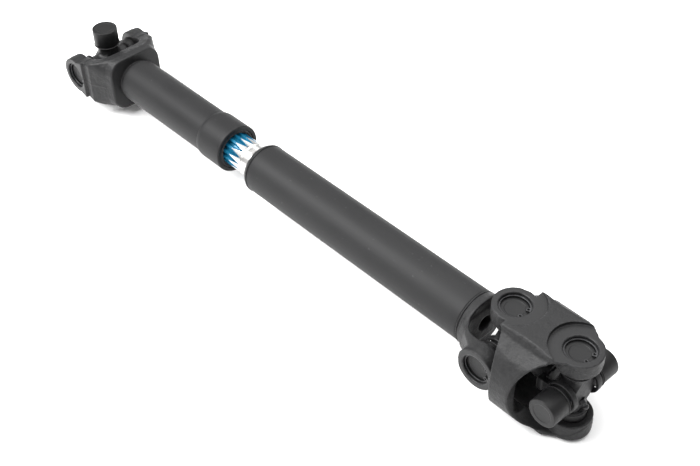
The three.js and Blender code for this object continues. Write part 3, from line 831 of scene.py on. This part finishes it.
def splinedStub():
    # tooth gaps with sloping sides; their floor follows the cutter's arc up to the surface at the run-out
    s = stub
    first, end, shankR, cutterR = s["start"], s["end"], s["shankR"], s["cutterR"]
    profile = [(first, 0), (first, 14.7, 0.6), (142.6, s["tipR"], 0.4), (end, s["tipR"], 0.3),
               (end + 1, shankR, 0.3), (262.2, shankR, 1.5), (265.2, 23.9, 1.2), (268.4, 25.1, 0.5),
               (268.4, 22.1, 0.2), (284.4, 22.1, 0.6), (284.4, 0)]
    curve = densified(softened(profile), 1.0, False)
    x, r = curve[:, 0][:, None], curve[:, 1][:, None]
    count = s["teeth"] * s["perTooth"]
    angle = np.linspace(0, 2 * np.pi, count, endpoint=False)[None, :]
    # share is 0 in a gap's middle and 1 on a tooth's; a gap narrows to a point at its end
    share = np.abs((angle * s["teeth"] / (2 * np.pi)) % 1 - 0.5) * 2
    rise = np.clip(x - s["fullEnd"], 0, end - s["fullEnd"])
    floor = s["rootR"] + cutterR - np.sqrt(cutterR ** 2 - rise ** 2)
    wide = s["gapWide"] * np.clip((end - x) / s["taper"], 0, 1) ** 0.8
    flank = s["tipR"] - np.clip(wide - share, 0, 1) * s["flank"]
    cut = np.minimum(r, np.maximum(floor, flank))
    cut = np.where((x > first + 0.5) & (x < end + 0.4) & (r > 14.6), cut, r + 0 * angle)
    points = np.stack([x + 0 * angle, cut * np.cos(angle), cut * np.sin(angle)], -1).reshape(-1, 3)
    mesh = meshFrom("splinedStubShaft", points + np.array((pinionX, 0, 0)),
                    gridFaces(len(curve), count, False, True))
    # bare where the grinder has been, on the shank; the bare stripes at the tops of the teeth near their ends
    # are partly worn coating, partly painted highlight on the tooth tips
    depth = np.clip((s["tipR"] - cut) / 0.25, 0, 1)
    bareAndHighlightFrom = s["coatEnd"] - s["bareAndHighlightLength"] * np.clip((share - wide) / 0.4, 0, 1)
    tipCoat = np.clip((bareAndHighlightFrom - x) / 1.5 + 0.5, 0, 1)
    coated = np.where(x < end + 0.3, np.maximum(depth, tipCoat), 0)
    painted = np.clip((x - 262.0) / 0.8, 0, 1) + 0 * angle
    for key, values in (("coated", coated), ("painted", painted)):
        pointValues(mesh, key, values)
    tidyShell(mesh, 34)
    standFor(bpy.data.objects.new("splinedStubShaft", mesh), ["splined_stub"], splineBlue)


splinedStub()

tubeStart, tubeEnd, tubeR, tubeBoreR = 270.6, 549.6, 25.4, 22.4
tubeProfile = [(tubeStart, tubeBoreR, 0.2), (tubeStart, 25.0, 0.3), (tubeStart + 0.6, tubeR, 0.3),
               (tubeEnd - 0.6, tubeR, 0.3), (tubeEnd, 25.0, 0.3), (tubeEnd, tubeBoreR, 0.2)]
turnedPiece("mainTubeShell", tubeProfile, (pinionX, 0, 0), ["main_tube"], tubeBlack, "black_paint",
            sides=144, extra=8)


def weldBead(name, node, at, height):
    # a low crown round the seam, rippled as the puddle froze in overlapping crescents
    profile = [(at - 1.0, 22.9, 0.2), (at - 1.0, 25.3, 0.3), (at, tubeR + height, 1.0),
               (at + 1.0, 25.3, 0.3), (at + 1.0, 22.9, 0.2)]

    def ripple(along, radius, angle):
        crest = np.clip((radius - 25.0) / (0.4 + height), 0, 1)
        phase = angle * 62 + 0.9 * (along - at) ** 2
        uneven = 0.12 * np.sin(angle * 5 + 1.0) + 0.08 * np.sin(angle * 11 + 2.3)
        return crest * (0.12 * np.cos(phase) + uneven)

    turnedPiece(name, profile, (pinionX, 0, 0), [node], forgedBlack, "black_paint",
                sides=512, ripple=ripple, sharp=60, extra=0.35)


weldBead("frontWeldBead", "weld_bead_front", 269.5, 0.7)
weldBead("backWeldBead", "weld_bead_back", 550.7, 0.7)
print("stub, tube and welds made")


fork = {"eyeInner": 12, "eyeOuter": 14.6, "eyeMidY": 15.5, "plateHalf": 2.5, "bridgeX": 22, "half": 6}


def centeringForkField(x, y, z):
    f = fork
    ay = np.abs(y)
    r = np.hypot(x, z)
    plate, strip = np.abs(ay - f["eyeMidY"]) - f["plateHalf"], np.abs(z) - f["half"]
    eye = roundMax(r - f["eyeOuter"], plate, 0.6)
    arm = roundMax(np.maximum(strip, plate), np.maximum(8 - x, x - 24.5), 1.0)
    bridge = roundMax(roundMax(np.abs(x - f["bridgeX"]) - f["plateHalf"], strip, 0.8), ay - 18, 1.0)
    body = roundMin(roundMin(eye, arm, 1.2), bridge, 1.5)
    eyeHole = np.maximum(r - f["eyeInner"], 12 - ay)
    return np.maximum(body, -eyeHole)


ballX, ballR, studStart = (outerX - innerX) / 2, 7, 20.5


def ballForkField(x, y, z):
    r = np.hypot(y, z)
    taper = r - np.interp(x, [studStart, 25.75, 34], [6, 4, 4])
    stud = np.maximum(taper, np.maximum(studStart - x, x - ballX))
    ball = np.sqrt((x - ballX) ** 2 + r * r) - ballR
    return np.minimum(roundMin(centeringForkField(x, y, z), stud, 1.0), ball)


def socketForkField(x, y, z):
    r = np.hypot(y, z)
    cup = roundMax(r - 11.5, np.maximum(studStart - x, x - ballX - 2), 0.6)
    body = roundMin(centeringForkField(x, y, z), cup, 1.2)
    body = np.maximum(body, -np.maximum(r - 9, 24.85 - x))
    return np.maximum(body, -np.maximum(r - 6.2, 20.9 - x))


def centeringMachined(x, y, z):
    return x > 26


for name, field, reach, at, mapping, node in (
        ("centeringBallFork", ballForkField, 42, innerX, None, "centering_ball_fork"),
        ("centeringSocketFork", socketForkField, 37, outerX, flipX, "centering_socket_fork")):
    part = (field, (-15.5, -19, -15.5), (reach, 19, 15.5), 0.75, (at, 0, 0), mapping)
    fieldPiece(name, [part], [node], crossBlack, centeringMachined, soft=0.2)
seatProfile = [(-25.2, 4.4, 0.3), (-25.2, 8.7, 0.3), (-27.66, 8.7, 0.3), (-27.66, 4.4, 0.6)]
turnedPiece("ballSeatRing", seatProfile, (outerX, 0, 0), ["ball_seat"], groundSteel, "bare_steel",
            sides=48)


def centeringSpring():
    # a round wire carried along a helix: its section stands across the wire's own direction
    start, end, coilR, wireR, turns, steps, sides = -21.8, -24.15, 5.0, 0.6, 2, 73, 10
    t = np.linspace(0, 1, steps)[:, None]
    around = np.linspace(0, 2 * np.pi, sides, endpoint=False)[None, :]
    a = 2 * np.pi * turns * t
    x = start + (end - start) * t + wireR * np.sin(around)
    radius = coilR + wireR * np.cos(around)
    points = np.stack([x, radius * np.cos(a), radius * np.sin(a)], -1)
    firstEnd, lastEnd = (row.mean(1, keepdims=True).repeat(sides, 1) for row in (points[:1], points[-1:]))
    points = np.concatenate([firstEnd, points, lastEnd]).reshape(-1, 3)
    mesh = meshFrom("centeringSpringCoil", points + np.array((outerX, 0, 0)),
                    gridFaces(steps + 2, sides, False, True))
    coil = bpy.data.objects.new("centeringSpringCoil", tidyShell(mesh, 40))
    standFor(coil, ["centering_spring"], springSteel)


centeringSpring()
print("centering device made")
